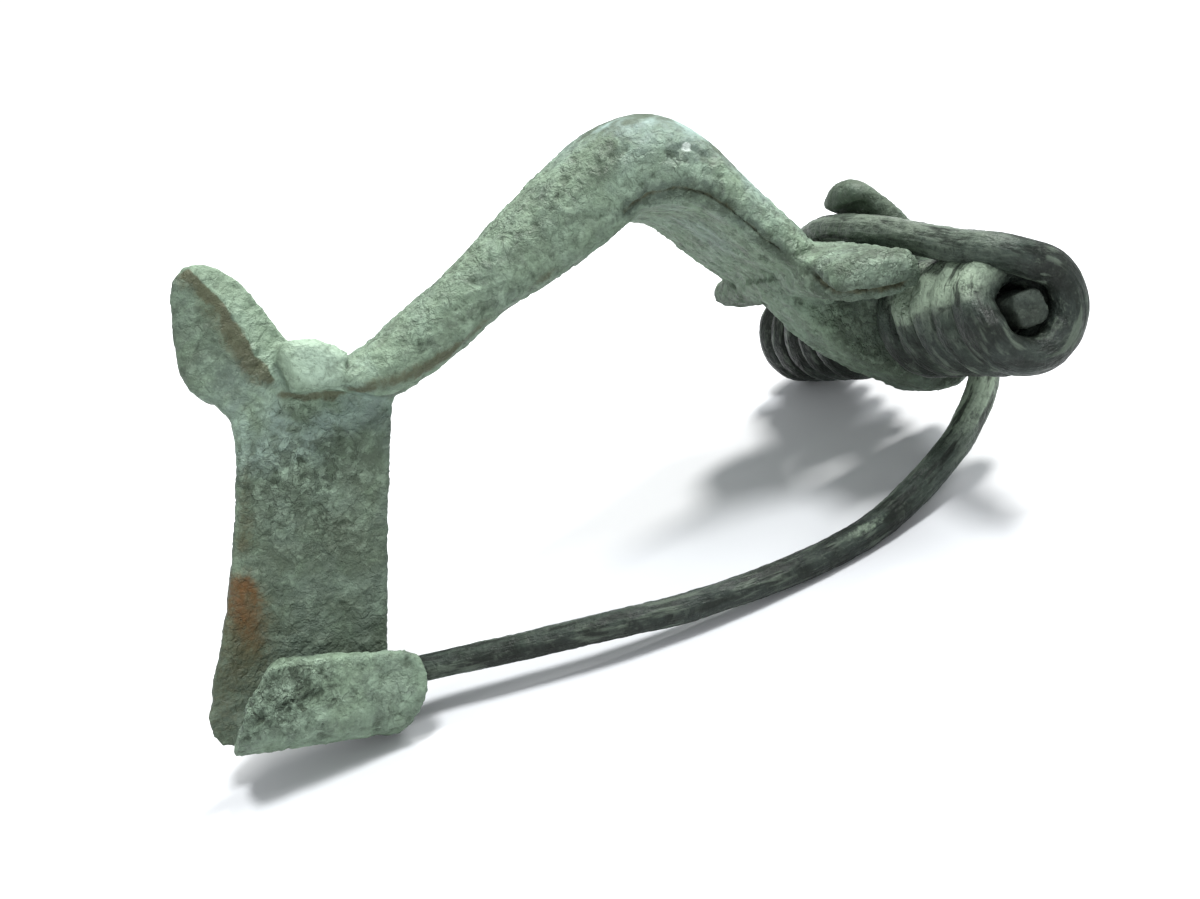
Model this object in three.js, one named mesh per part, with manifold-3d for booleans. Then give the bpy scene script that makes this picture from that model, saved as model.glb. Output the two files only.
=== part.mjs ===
// Roman bow brooch of cast copper alloy: a bow with catch-plate and support plate, a two-sided spring whose
// wire also makes the chord and the pin, and the rod that the spring is wound on.
// Millimetres. The brooch is drawn in the bow's own frame, X from foot to head, Y across, Z up, with the
// spring's axis along Y through the origin, and is then leant over onto the three points it rests on.
import * as THREE from 'three';
import { mergeVertices } from 'three/addons/utils/BufferGeometryUtils.js';
import Module from 'manifold-3d';

const wasm = await Module();
wasm.setup();

// ---- driving dimensions ----------------------------------------------------------------------------------

const coilRadius = 3.05;            // outside of the spring
const wireRadius = 0.82;
const turnRadius = coilRadius - wireRadius;
const springHalfLength = 13.25;
const springSkew = 0.8;             // degrees that the spring sits off square to the bow
const turnsPerSide = 5.19;
const turnPitch = 1.82;
const outerTurnY = springHalfLength - wireRadius;
const innerTurnY = outerTurnY - turnsPerSide * turnPitch;
const chordStartAngle = 60;         // degrees round the coil from +X towards +Z
const stepsPerTurn = 18;
const wireSides = 10;

const rodHalfWidth = 0.8;
const rodCornerRadius = 0.4;
const rodHalfLength = 12.9;
const rodHoleRadius = 1.3;

const lugHalfThickness = 1.85;
const headBlockHalfWidth = 2.2;
const plateNearFaceY = -0.9;        // the catch-plate's face on the pin's side
const plateThickness = 1.25;
const earThickness = 2.1;
const lipInnerY = -2.94;
const lipThickness = 0.95;
const catchFoldAngle = -20.3;       // slope of the catch's folded bottom, degrees
const catchFoldStart = [-40.84, -3.74];
const catchFoldLength = 9.9;
const hookHalfWidth = 2.05;

const outlineStep = 0.9;            // length of a straight stretch where an outline curves

const restLean = 18.13;              // degrees that the bow leans over towards its far side
const restPitch = -1.06;

// ---- materials -------------------------------------------------------------------------------------------

const paleGreenPatina = new THREE.MeshStandardMaterial({ color: 0x8ea78f, roughness: 0.85, metalness: 0.15 });
const darkGreenPatina = new THREE.MeshStandardMaterial({ color: 0x566459, roughness: 0.6, metalness: 0.3 });
const brownPatina = new THREE.MeshStandardMaterial({ color: 0x5d665b, roughness: 0.7, metalness: 0.3 });

// ---- helpers ---------------------------------------------------------------------------------------------

const radians = THREE.MathUtils.degToRad;
const xz = (x, z, y = 0) => new THREE.Vector3(x, y, z);

function solidOf(geometry) {
    const bare = geometry.clone();
    bare.deleteAttribute('normal');
    bare.deleteAttribute('uv');
    const welded = mergeVertices(bare, 1e-4);
    const mesh = new wasm.Mesh({
        numProp: 3,
        vertProperties: new Float32Array(welded.attributes.position.array),
        triVerts: new Uint32Array(welded.index.array),
    });
    return new wasm.Manifold(mesh);
}

function geometryOf(solid) {
    const mesh = solid.getMesh();
    const geometry = new THREE.BufferGeometry();
    geometry.setAttribute('position', new THREE.BufferAttribute(mesh.vertProperties, 3));
    geometry.setIndex(new THREE.BufferAttribute(mesh.triVerts, 1));
    geometry.computeVertexNormals();
    return geometry;
}

// A closed skin over rings of points, each ring in the same order, with a flat fan at both ends.
function skinOver(rings) {
    const sides = rings[0].length;
    const points = rings.flat();
    const index = [];
    for (let ring = 0; ring + 1 < rings.length; ring++) {
        for (let side = 0; side < sides; side++) {
            const a = ring * sides + side;
            const b = ring * sides + (side + 1) % sides;
            index.push(a, b, b + sides, a, b + sides, a + sides);
        }
    }
    for (const [ring, flip] of [[0, true], [rings.length - 1, false]]) {
        const middle = new THREE.Vector3();
        rings[ring].forEach((point) => middle.addScaledVector(point, 1 / sides));
        const hub = points.push(middle) - 1;
        for (let side = 0; side < sides; side++) {
            const a = ring * sides + side;
            const b = ring * sides + (side + 1) % sides;
            index.push(...(flip ? [hub, b, a] : [hub, a, b]));
        }
    }
    const geometry = new THREE.BufferGeometry().setFromPoints(points);
    geometry.setIndex(index);
    return geometry;
}

// A superellipse's point at an angle: power 2 is an ellipse, and a higher power is squarer.
function squircle(angle, halfAcross, halfUp, power) {
    const bend = (value) => Math.sign(value) * Math.abs(value) ** (2 / power);
    return [halfAcross * bend(Math.cos(angle)), halfUp * bend(Math.sin(angle))];
}

// An outline in the XZ plane pushed out along Y, from nearY to farY, with small bevels.
function slabOf(shape, nearY, farY, bevel) {
    const geometry = new THREE.ExtrudeGeometry(shape, {
        depth: farY - nearY - 2 * bevel,
        bevelEnabled: bevel > 0,
        bevelThickness: bevel,
        bevelSize: bevel,
        bevelOffset: -bevel,
        bevelSegments: 1,
    });
    geometry.rotateX(Math.PI / 2);
    geometry.translate(0, farY - bevel, 0);
    return geometry;
}

// An outline from corners joined by straight lines; a list of places among them is joined by a smooth curve.
function smoothShape(corners) {
    const outline = [new THREE.Vector2(...corners[0])];
    for (const part of corners.slice(1)) {
        if (Array.isArray(part[0])) {
            const curve = new THREE.SplineCurve([outline.at(-1), ...part.map((place) => new THREE.Vector2(...place))]);
            const count = Math.ceil(curve.getLength() / outlineStep);
            outline.push(...curve.getSpacedPoints(count).slice(1));
        } else {
            outline.push(new THREE.Vector2(...part));
        }
    }
    return new THREE.Shape(outline);
}

// ---- the bow: leg, crest and strap -----------------------------------------------------------------------

// Each station is a cut square to the bow: its top and bottom in XZ, its width, how far up the widest line
// lies, and how square the lower and upper halves are.
const bowStations = [
    { top: [-30.2, 11.5], bottom: [-30.0, 9.8], width: 4.4, waist: 0.5, below: 3.0, above: 2.6 },
    { top: [-28.8, 10.9], bottom: [-28.2, 8.9], width: 5.0, waist: 0.5, below: 3.0, above: 2.6 },
    { top: [-27.2, 10.4], bottom: [-26.4, 7.75], width: 5.0, waist: 0.5, below: 3.0, above: 2.6 },
    { top: [-24.0, 11.25], bottom: [-23.2, 8.1], width: 5.1, waist: 0.5, below: 3.2, above: 2.6 },
    { top: [-20.9, 12.2], bottom: [-19.5, 9.2], width: 5.4, waist: 0.5, below: 3.4, above: 2.6 },
    { top: [-17.5, 13.65], bottom: [-16.5, 9.6], width: 6.0, waist: 0.45, below: 3.6, above: 2.5 },
    { top: [-14.0, 15.0], bottom: [-13.3, 10.3], width: 7.4, waist: 0.42, below: 4.0, above: 2.4 },
    { top: [-11.2, 15.65], bottom: [-11.5, 10.8], width: 9.0, waist: 0.36, below: 4.6, above: 2.4 },
    { top: [-8.8, 15.2], bottom: [-9.9, 10.3], width: 9.9, waist: 0.3, below: 5.4, above: 2.3 },
    { top: [-7.1, 13.4], bottom: [-8.8, 9.3], width: 10.0, waist: 0.25, below: 6.0, above: 2.3 },
    { top: [-6.0, 11.0], bottom: [-7.8, 7.6], width: 10.0, waist: 0.24, below: 6.0, above: 2.3 },
    { top: [-4.9, 8.6], bottom: [-6.6, 5.7], width: 9.9, waist: 0.24, below: 6.0, above: 2.3 },
    { top: [-3.7, 6.1], bottom: [-5.3, 3.8], width: 9.0, waist: 0.24, below: 6.0, above: 2.3 },
    { top: [-2.8, 4.4], bottom: [-4.4, 2.7], width: 6.4, waist: 0.3, below: 5.0, above: 2.3 },
];
const ringsPerStation = 3;
const bowSides = 24;

function makeStrap() {
    const through = (pick) => new THREE.CatmullRomCurve3(bowStations.map(pick));
    const tops = through((s) => xz(...s.top));
    const bottoms = through((s) => xz(...s.bottom));
    const shapes = through((s) => new THREE.Vector3(s.width / 2, s.waist, 0));
    const powers = through((s) => new THREE.Vector3(s.below, s.above, 0));
    const ringCount = (bowStations.length - 1) * ringsPerStation;
    const rings = [];
    for (let ring = 0; ring <= ringCount; ring++) {
        const t = ring / ringCount;
        const top = tops.getPoint(t);
        const bottom = bottoms.getPoint(t);
        const { x: halfWidth, y: waist } = shapes.getPoint(t);
        const { x: below, y: above } = powers.getPoint(t);
        const points = [];
        for (let side = 0; side < bowSides; side++) {
            const angle = 2 * Math.PI * side / bowSides;
            const upper = Math.sin(angle) >= 0;
            const [y, up] = squircle(angle, halfWidth, upper ? 1 - waist : waist, upper ? above : below);
            const point = bottom.clone().lerp(top, waist + up);
            point.y = y;
            points.push(point);
        }
        rings.push(points);
    }
    return skinOver(rings);
}

// ---- the foot: moulding, ear and catch-plate -------------------------------------------------------------

// The moulding is a round-topped collar that stands out from the catch-plate on both sides.
const mouldingHalfWidth = 2.75;
const mouldingShape = smoothShape([
    [-30.5, 9.9],
    [-27.9, 9.1],
    [[-27.35, 10.3], [-27.6, 10.9], [-28.1, 11.5], [-28.7, 11.9], [-29.3, 12.1], [-29.9, 12.2], [-30.4, 11.6]],
]);

const earShape = smoothShape([
    [-29.4, 9.0],
    [-29.5, 12.2],
    [[-30.2, 15.3], [-31.4, 16.95], [-32.6, 17.05], [-33.4, 16.2], [-34.35, 13.6], [-34.6, 12.4],
        [-34.2, 11.3], [-33.5, 10.5]],
    [-33.3, 8.8],
]);

// The ear's near face falls away towards its upper edge: this line is where the slope starts.
const earSlopeLine = [[-33.0, 17.4], [-31.9, 16.6], [-31.25, 14.5], [-31.05, 12.0], [-30.4, 9.0]];
const earSlopeWidth = 3;
const earSlopeDepth = 1.6;

function makeEar() {
    let ear = solidOf(slabOf(earShape, plateNearFaceY - 0.01, plateNearFaceY + earThickness, 0.3));
    for (let i = 0; i + 1 < earSlopeLine.length; i++) {
        const ends = [xz(...earSlopeLine[i]), xz(...earSlopeLine[i + 1])];
        const along = ends[1].clone().sub(ends[0]).normalize();
        const outward = xz(-along.z, along.x);
        const wedge = [];
        for (const [end, overrun] of [[ends[0], -0.2], [ends[1], 0.2]]) {
            const inner = end.clone().addScaledVector(along, overrun);
            const outer = inner.clone().addScaledVector(outward, earSlopeWidth);
            wedge.push([inner.x, plateNearFaceY, inner.z]);
            wedge.push([inner.x, plateNearFaceY - 1, inner.z]);
            wedge.push([outer.x, plateNearFaceY - 1, outer.z]);
            wedge.push([outer.x, plateNearFaceY + earSlopeDepth, outer.z]);
        }
        ear = ear.subtract(wasm.Manifold.hull(wedge));
    }
    return ear;
}

const plateShape = smoothShape([
    [-25.6, 8.6],
    [[-26.4, 7.2], [-27.3, 5.5], [-29.4, 1.3], [-32.1, -4.4]],
    [-39.8, -1.4],
    [[-38.4, 0.5], [-37.1, 2.45], [-35.7, 4.85], [-34.4, 7.3], [-33.45, 9.6], [-33.7, 10.6]],
    [-31.0, 10.6],
    [-28.0, 9.9],
]);

// ---- the catch: the plate's bottom folded towards the pin and up again -----------------------------------

const foldDepth = 1.9;
const lipHeight = 4.55;

// The fold has its own frame: X across the brooch, Y up the lip, Z along the fold.
const foldAlong = xz(Math.cos(radians(catchFoldAngle)), Math.sin(radians(catchFoldAngle)));
const foldUp = xz(-foldAlong.z, foldAlong.x);
const foldFrame = new THREE.Matrix4()
    .makeBasis(new THREE.Vector3(0, 1, 0), foldUp, foldAlong)
    .setPosition(xz(...catchFoldStart));

function foldPoint([along, up]) {
    const point = new THREE.Vector3(0, up, along).applyMatrix4(foldFrame);
    return [point.x, point.z];
}

// Outlines in (along the fold, up the lip): the lip ends in a slope at the foot and a round corner at the head.
const lipOutline = [
    [0.9, -0.3],
    [[1.2, 0.9], [1.5, 2.1], [2.25, 3.45], [3.0, 4.35]],
    [3.5, 4.6],
    [9.0, 4.2],
    [[9.75, 3.7], [9.9, 2.7], [9.6, 1.5], [8.7, 0.3]],
    [8.3, -0.3],
];
const foldedPlateOutline = [
    [0.9, -0.3],
    [[0.3, 0.5], [0.0, 1.4], [0.2, 2.2], [0.5, 3.0]],
    [8.45, 3.0],
    [8.3, 1.0],
    [8.3, -0.3],
];

function foldShape(outline) {
    return smoothShape(outline.map((part) => (Array.isArray(part[0]) ? part.map(foldPoint) : foldPoint(part))));
}

function makeCatchFold() {
    const plateFarY = plateNearFaceY + plateThickness;
    const lipOuterY = lipInnerY - lipThickness;
    const outerMiddle = (plateFarY + lipOuterY) / 2;
    const outerHalf = (plateFarY - lipOuterY) / 2;
    const innerMiddle = (plateNearFaceY + lipInnerY) / 2;
    const innerHalf = (plateNearFaceY - lipInnerY) / 2;
    const lipEdgeBevel = 0.3;
    const section = new THREE.Shape();
    section.moveTo(plateFarY, lipHeight);
    section.lineTo(plateFarY, foldDepth);
    section.absellipse(outerMiddle, foldDepth, outerHalf, foldDepth, 0, Math.PI, true);
    section.lineTo(lipOuterY, lipHeight - lipEdgeBevel);
    section.lineTo(lipOuterY + lipEdgeBevel, lipHeight);
    section.lineTo(lipInnerY, lipHeight);
    section.lineTo(lipInnerY, foldDepth);
    section.absellipse(innerMiddle, foldDepth, innerHalf, innerHalf, Math.PI, 2 * Math.PI, false);
    section.lineTo(plateNearFaceY, lipHeight);
    const sheet = new THREE.ExtrudeGeometry(section, {
        depth: catchFoldLength, bevelEnabled: false, curveSegments: 10,
    });
    sheet.applyMatrix4(foldFrame);
    const lipPrism = slabOf(foldShape(lipOutline), lipOuterY - 1, plateNearFaceY, 0);
    const platePrism = slabOf(foldShape(foldedPlateOutline), plateNearFaceY, plateFarY + 1, 0);
    const folded = solidOf(sheet);
    return folded.intersect(solidOf(lipPrism)).add(folded.intersect(solidOf(platePrism)));
}

// ---- the head: lug, head block, support plate and chord hook ---------------------------------------------

const lugShape = smoothShape([
    [-6.7, 5.2],
    [[-5.7, 3.0], [-4.7, 0.9], [-3.1, -1.2], [-1.2, -3.1], [-0.2, -3.95], [1.0, -4.3], [2.2, -3.9], [2.9, -2.6]],
    [3.1, 0.5],
    [2.7, 3.6],
    [-2.6, 4.4],
]);

const headBlockShape = smoothShape([
    [-4.8, 3.6],
    [-4.4, 6.2],
    [[-3.6, 6.2], [-2.8, 4.75], [-1.4, 4.1], [0.1, 4.2], [1.3, 4.6], [2.5, 4.2], [2.9, 3.4]],
    [-3.6, 3.35],
]);

// The support plate is a bar across the head, a rounded cut at each place along Y; its near wing hangs lower.
const supportTilt = -15;
const supportStations = [
    { y: 8.0, middle: [-4.2, 4.15], half: [1.3, 0.4] },
    { y: 7.4, middle: [-4.15, 4.25], half: [2.1, 0.85] },
    { y: 6.2, middle: [-4.15, 4.35], half: [2.3, 1.05] },
    { y: 4.2, middle: [-4.1, 4.55], half: [2.3, 1.3] },
    { y: 0.0, middle: [-4.1, 4.8], half: [2.3, 1.45] },
    { y: -4.2, middle: [-4.1, 4.45], half: [2.35, 1.3] },
    { y: -6.4, middle: [-4.0, 4.0], half: [2.5, 1.25] },
    { y: -7.8, middle: [-3.9, 3.8], half: [2.35, 1.2] },
    { y: -8.4, middle: [-3.9, 3.7], half: [1.6, 0.7] },
];
const supportSides = 16;

function makeSupportPlate() {
    const rings = supportStations.map(({ y, middle, half }) => {
        const ring = [];
        for (let side = 0; side < supportSides; side++) {
            const [across, up] = squircle(2 * Math.PI * side / supportSides, ...half, 2.6);
            const point = xz(across, up).applyAxisAngle(new THREE.Vector3(0, 1, 0), radians(-supportTilt));
            ring.push(point.add(xz(middle[0], middle[1], y)));
        }
        return ring;
    });
    return skinOver(rings);
}

// The hook rises behind the chord and curls over it towards the foot.
const hookMiddle = [[2.1, 3.2], [1.65, 4.6], [1.1, 5.8], [0.45, 6.87], [-0.35, 7.42]];
const hookRootThickness = 1.9;
const hookTipThickness = 1.2;
const hookRings = 9;
const hookSides = 14;

function makeHook() {
    const path = new THREE.CatmullRomCurve3(hookMiddle.map((place) => xz(...place)));
    const rings = [];
    for (let ring = 0; ring < hookRings; ring++) {
        const t = ring / (hookRings - 1);
        const middle = path.getPointAt(t);
        const tangent = path.getTangentAt(t);
        const outward = xz(tangent.z, -tangent.x);
        const thickness = THREE.MathUtils.lerp(hookRootThickness, hookTipThickness, t);
        const points = [];
        for (let side = 0; side < hookSides; side++) {
            const angle = 2 * Math.PI * side / hookSides;
            const squareness = Math.sin(angle) < 0 ? 5 : 2.2;
            const [y, out] = squircle(angle, hookHalfWidth, thickness / 2, squareness);
            const point = middle.clone().addScaledVector(outward, out);
            point.y = -y;
            points.push(point);
        }
        rings.push(points);
    }
    return skinOver(rings);
}

function cylinderAlongY(radius, length, sides) {
    return new THREE.CylinderGeometry(radius, radius, length, sides);
}

function makeBow() {
    const lug = slabOf(lugShape, -lugHalfThickness, lugHalfThickness, 0.25);
    const headBlock = slabOf(headBlockShape, -headBlockHalfWidth, headBlockHalfWidth, 0.3);
    const plate = slabOf(plateShape, plateNearFaceY, plateNearFaceY + plateThickness, 0.15);
    const moulding = slabOf(mouldingShape, -mouldingHalfWidth, mouldingHalfWidth, 0.35);
    const rodHole = cylinderAlongY(rodHoleRadius, 6 * lugHalfThickness, 24);
    const pieces = [makeStrap(), moulding, plate, headBlock, lug, makeSupportPlate(), makeHook()];
    let casting = makeCatchFold().add(makeEar());
    for (const piece of pieces) {
        casting = casting.add(solidOf(piece));
    }
    return geometryOf(casting.subtract(solidOf(rodHole)));
}

// ---- the wire: pin, near half of the spring, chord, far half ---------------------------------------------

// The pin's route from where it leaves the spring to its point in the catch.
const pinRoute = [
    [2.18, -3.2, -1.7],
    [1.65, -3.6, -3.9],
    [-0.4, -4.2, -5.5],
    [-3.2, -4.9, -6.6],
    [-7.6, -5.5, -7.65],
    [-11.3, -5.7, -7.75],
    [-17.7, -5.4, -7.0],
    [-22.4, -4.6, -6.0],
    [-27.0, -3.1, -5.15],
    [-30.6, -1.97, -4.4],
    [-33.5, -1.95, -3.5],
    [-36.8, -1.92, -2.4],
];
const pinMiddleRadius = 0.74;
const pinCatchRadius = 0.6;
const pinPointRadius = 0.2;

// The chord's route from the near end of the spring, under the hook, to its far end.
const chordRoute = [
    [-0.1, -11.5, 2.95],
    [-0.4, -9.6, 3.5],
    [-0.6, -7.2, 4.15],
    [-0.8, -4.5, 4.95],
    [-0.95, -2.4, 5.4],
    [-1.0, -0.4, 5.75],
    [-1.05, 2.0, 5.9],
    [-0.95, 4.3, 5.5],
    [-0.7, 7.0, 4.6],
    [-0.4, 9.6, 3.6],
    [-0.1, 11.5, 2.95],
];
const routeStep = 1.5;

function skewed(point) {
    point.x -= point.y * Math.tan(radians(springSkew));
    return point;
}

function turnPoint(angle, y) {
    return skewed(xz(turnRadius * Math.cos(radians(angle)), turnRadius * Math.sin(radians(angle)), y));
}

// The turns from the lug out to the end of the spring, on the side that sign names.
function turnsOf(sign) {
    const sweep = 360 * turnsPerSide;
    const steps = Math.round(turnsPerSide * stepsPerTurn);
    const points = [];
    for (let step = 0; step <= steps; step++) {
        const t = step / steps;
        const y = THREE.MathUtils.lerp(innerTurnY, outerTurnY, t);
        points.push(turnPoint(chordStartAngle - sweep * (1 - t), sign * y));
    }
    return points;
}

function evenly(route) {
    const curve = new THREE.CatmullRomCurve3(route);
    const count = Math.round(curve.getLength() / routeStep);
    return curve.getSpacedPoints(count);
}

// A round wire along a line of points, closed at both ends, with a radius for each point.
function wireAlong(points, radii) {
    const tangents = points.map((point, i) => {
        const before = points[Math.max(i - 1, 0)];
        const after = points[Math.min(i + 1, points.length - 1)];
        return after.clone().sub(before).normalize();
    });
    let normal = new THREE.Vector3(0, 1, 0).cross(tangents[0]).normalize();
    const rings = points.map((point, i) => {
        normal = normal.clone().addScaledVector(tangents[i], -normal.dot(tangents[i])).normalize();
        const side = tangents[i].clone().cross(normal);
        const ring = [];
        for (let k = 0; k < wireSides; k++) {
            const angle = 2 * Math.PI * k / wireSides;
            ring.push(point.clone()
                .addScaledVector(normal, radii[i] * Math.cos(angle))
                .addScaledVector(side, radii[i] * Math.sin(angle)));
        }
        return ring;
    });
    return skinOver(rings);
}

function makeSpringAndPin() {
    const nearTurns = turnsOf(-1);
    const farTurns = turnsOf(1).reverse();
    const vectors = (route) => route.map((place) => new THREE.Vector3(...place));
    const pin = evenly([...vectors(pinRoute).reverse(), nearTurns[0], nearTurns[1]]).slice(0, -2);
    const chordEnds = [nearTurns.at(-2), nearTurns.at(-1)];
    const chordMiddle = vectors(chordRoute).map(skewed);
    const chord = evenly([...chordEnds, ...chordMiddle, farTurns[0], farTurns[1]]).slice(2, -2);
    const points = [...pin, ...nearTurns, ...chord, ...farTurns];
    const radii = points.map((point, i) => {
        if (i === 0) {
            return pinPointRadius;
        }
        if (i >= pin.length) {
            return wireRadius;
        }
        const t = i / pin.length;
        const atMiddle = 0.55;
        return t < atMiddle
            ? THREE.MathUtils.lerp(pinCatchRadius, pinMiddleRadius, t / atMiddle)
            : THREE.MathUtils.lerp(pinMiddleRadius, wireRadius, (t - atMiddle) / (1 - atMiddle));
    });
    return wireAlong(points, radii);
}

// ---- the rod ---------------------------------------------------------------------------------------------

function makeRod() {
    const flat = rodHalfWidth - rodCornerRadius;
    const section = new THREE.Shape();
    section.absarc(flat, flat, rodCornerRadius, 0, Math.PI / 2, false);
    section.absarc(-flat, flat, rodCornerRadius, Math.PI / 2, Math.PI, false);
    section.absarc(-flat, -flat, rodCornerRadius, Math.PI, 1.5 * Math.PI, false);
    section.absarc(flat, -flat, rodCornerRadius, 1.5 * Math.PI, 2 * Math.PI, false);
    const bevel = 0.2;
    const rod = new THREE.ExtrudeGeometry(section, {
        depth: 2 * (rodHalfLength - bevel), bevelThickness: bevel, bevelSize: bevel, bevelOffset: -bevel,
        bevelSegments: 1, curveSegments: 3,
    });
    rod.translate(0, 0, -(rodHalfLength - bevel));
    rod.rotateX(Math.PI / 2);
    rod.rotateZ(radians(springSkew));
    return rod;
}

// ---- the brooch ------------------------------------------------------------------------------------------

function named(name, geometry, material) {
    const mesh = new THREE.Mesh(geometry, material);
    mesh.name = name;
    return mesh;
}

const leaning = new THREE.Group();
leaning.add(named('bow', makeBow(), paleGreenPatina));
leaning.add(named('spring_and_pin', makeSpringAndPin(), darkGreenPatina));
leaning.add(named('axis_rod', makeRod(), brownPatina));
leaning.rotation.set(radians(-restLean), radians(restPitch), 0);

// The origin is under the middle of the brooch, on the surface that it rests on.
const brooch = new THREE.Group();
brooch.name = 'bow_brooch';
brooch.add(leaning);
brooch.updateMatrixWorld(true);
const box = new THREE.Box3().setFromObject(brooch, true);
const middle = box.getCenter(new THREE.Vector3());
leaning.position.set(-middle.x, -middle.y, -box.min.z);

export default brooch;
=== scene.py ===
from math import cos, pi, radians, sin, tan

import bmesh
import bpy
import numpy as np
from mathutils import Matrix, Vector


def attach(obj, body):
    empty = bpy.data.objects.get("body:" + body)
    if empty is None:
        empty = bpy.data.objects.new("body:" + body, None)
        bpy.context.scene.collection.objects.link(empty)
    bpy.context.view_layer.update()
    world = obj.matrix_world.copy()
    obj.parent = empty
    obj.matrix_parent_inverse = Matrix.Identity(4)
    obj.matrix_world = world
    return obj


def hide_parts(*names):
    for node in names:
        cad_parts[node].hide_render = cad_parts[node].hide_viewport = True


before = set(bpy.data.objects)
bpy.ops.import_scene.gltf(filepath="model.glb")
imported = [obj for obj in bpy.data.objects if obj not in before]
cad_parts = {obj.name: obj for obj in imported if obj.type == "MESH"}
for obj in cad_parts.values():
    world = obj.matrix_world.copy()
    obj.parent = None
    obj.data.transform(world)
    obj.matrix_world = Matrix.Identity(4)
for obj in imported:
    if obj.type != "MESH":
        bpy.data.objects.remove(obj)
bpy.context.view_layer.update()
mm = 0.001
print("frame loaded")

# The brooch is described in the bow's own frame, in millimetres: X from foot to head, Y across with the pin
# on the -Y side, Z up, and the spring's axis along Y through the origin. toRest leans it over onto the floor.
lean = {
    "overFarSide": -18.13,  # degrees
    "pitch": -1.06,
    "springPlace": (18.5815, -0.2937, 6.535),
}
toRest = (
    Matrix.Translation(Vector(lean["springPlace"]) * mm)
    @ Matrix.Rotation(radians(lean["overFarSide"]), 4, "X")
    @ Matrix.Rotation(radians(lean["pitch"]), 4, "Y")
)
restTurn = np.array(toRest.to_3x3())
restPlace = np.array(toRest.translation)


def toBowFrame(points):
    return (points - restPlace) @ restTurn / mm


def toRestFrame(points):
    return (np.asarray(points) * mm) @ restTurn.T + restPlace


# node helpers


def addNode(tree, kind, inputs=None, **settings):
    node = tree.nodes.new(kind)
    for name, value in settings.items():
        setattr(node, name, value)
    for socket, value in (inputs or {}).items():
        target = node.inputs[socket]
        if hasattr(value, "links"):
            tree.links.new(value, target)
        else:
            target.default_value = value
    return node


def mathNode(tree, operation, a, b=0.0):
    return addNode(tree, "ShaderNodeMath", {0: a, 1: b}, operation=operation).outputs[0]


def add(tree, a, b):
    return mathNode(tree, "ADD", a, b)


def subtract(tree, a, b):
    return mathNode(tree, "SUBTRACT", a, b)


def multiply(tree, a, b):
    return mathNode(tree, "MULTIPLY", a, b)


def oneOver(tree, a):
    return mathNode(tree, "DIVIDE", 1.0, a)


def vectorNode(tree, operation, a, b):
    return addNode(tree, "ShaderNodeVectorMath", {0: a, 1: b}, operation=operation).outputs[0]


def scaled(tree, vector, factor):
    return addNode(tree, "ShaderNodeVectorMath", {0: vector, "Scale": factor}, operation="SCALE").outputs[0]


def ramp(tree, value, edge, to=(0.0, 1.0)):
    sockets = {"Value": value, "From Min": edge[0], "From Max": edge[1], "To Min": to[0], "To Max": to[1]}
    return addNode(tree, "ShaderNodeMapRange", sockets, interpolation_type="SMOOTHSTEP").outputs[0]


def noise(tree, vector, scale, detail=2.0, roughness=0.5, distortion=0.0):
    sockets = {"Vector": vector, "Scale": scale, "Detail": detail, "Roughness": roughness,
               "Distortion": distortion}
    return addNode(tree, "ShaderNodeTexNoise", sockets).outputs[0]


def streaks(tree, aside, run, scale, detail, roughness=0.5):  # noise that is drawn out along the wire
    pace = 0.16  # how fast it changes along the wire, against across it
    sockets = {"Vector": aside, "W": multiply(tree, run, pace), "Scale": scale, "Detail": detail,
               "Roughness": roughness}
    return addNode(tree, "ShaderNodeTexNoise", sockets, noise_dimensions="4D").outputs[0]


def cells(tree, vector, scale, feature="F1"):
    return addNode(tree, "ShaderNodeTexVoronoi", {"Vector": vector, "Scale": scale}, feature=feature).outputs


def warped(tree, place, scale, amount):  # bends a pattern, so that its cells have no straight sides
    wander = addNode(tree, "ShaderNodeTexNoise", {"Vector": place, "Scale": scale}).outputs["Color"]
    return vectorNode(tree, "ADD", place, scaled(tree, wander, amount))


def stored(tree, name):
    return addNode(tree, "GeometryNodeInputNamedAttribute", {"Name": name}, data_type="FLOAT").outputs[0]


def store(tree, geometry, name, kind, value):
    sockets = {"Geometry": geometry, "Name": name, "Value": value}
    node = addNode(tree, "GeometryNodeStoreNamedAttribute", sockets, data_type=kind, domain="POINT")
    return node.outputs[0]


def openGroup(name, sockets):
    tree = bpy.data.node_groups.new(name, "GeometryNodeTree")
    tree.interface.new_socket("Geometry", in_out="INPUT", socket_type="NodeSocketGeometry")
    for label, kind, value in sockets:
        socket = tree.interface.new_socket(label, in_out="INPUT", socket_type="NodeSocket" + kind)
        if value is not None:
            socket.default_value = value
    tree.interface.new_socket("Geometry", in_out="OUTPUT", socket_type="NodeSocketGeometry")
    return tree, tree.nodes.new("NodeGroupInput"), tree.nodes.new("NodeGroupOutput")


def closeGroup(tree, geometry, material, groupOut):
    realized = addNode(tree, "GeometryNodeRealizeInstances", {0: geometry})
    smooth = addNode(tree, "GeometryNodeSetShadeSmooth", {0: realized.outputs[0]})
    coated = addNode(tree, "GeometryNodeSetMaterial", {0: smooth.outputs[0], "Material": material})
    tree.links.new(coated.outputs[0], groupOut.inputs[0])


def setInputs(modifier, values):
    for item in modifier.node_group.interface.items_tree:
        if item.item_type == "SOCKET" and item.in_out == "INPUT" and item.name in values:
            modifier[item.identifier] = values[item.name]


# mesh helpers


def newObject(name, data):
    thing = bpy.data.objects.new(name, data)
    bpy.context.scene.collection.objects.link(thing)
    return thing


def makePlain(thing):  # takes the modifiers' result as the object's own mesh
    bpy.context.view_layer.update()
    baked = bpy.data.meshes.new_from_object(thing.evaluated_get(bpy.context.evaluated_depsgraph_get()))
    thing.modifiers.clear()
    thing.data = baked


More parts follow.
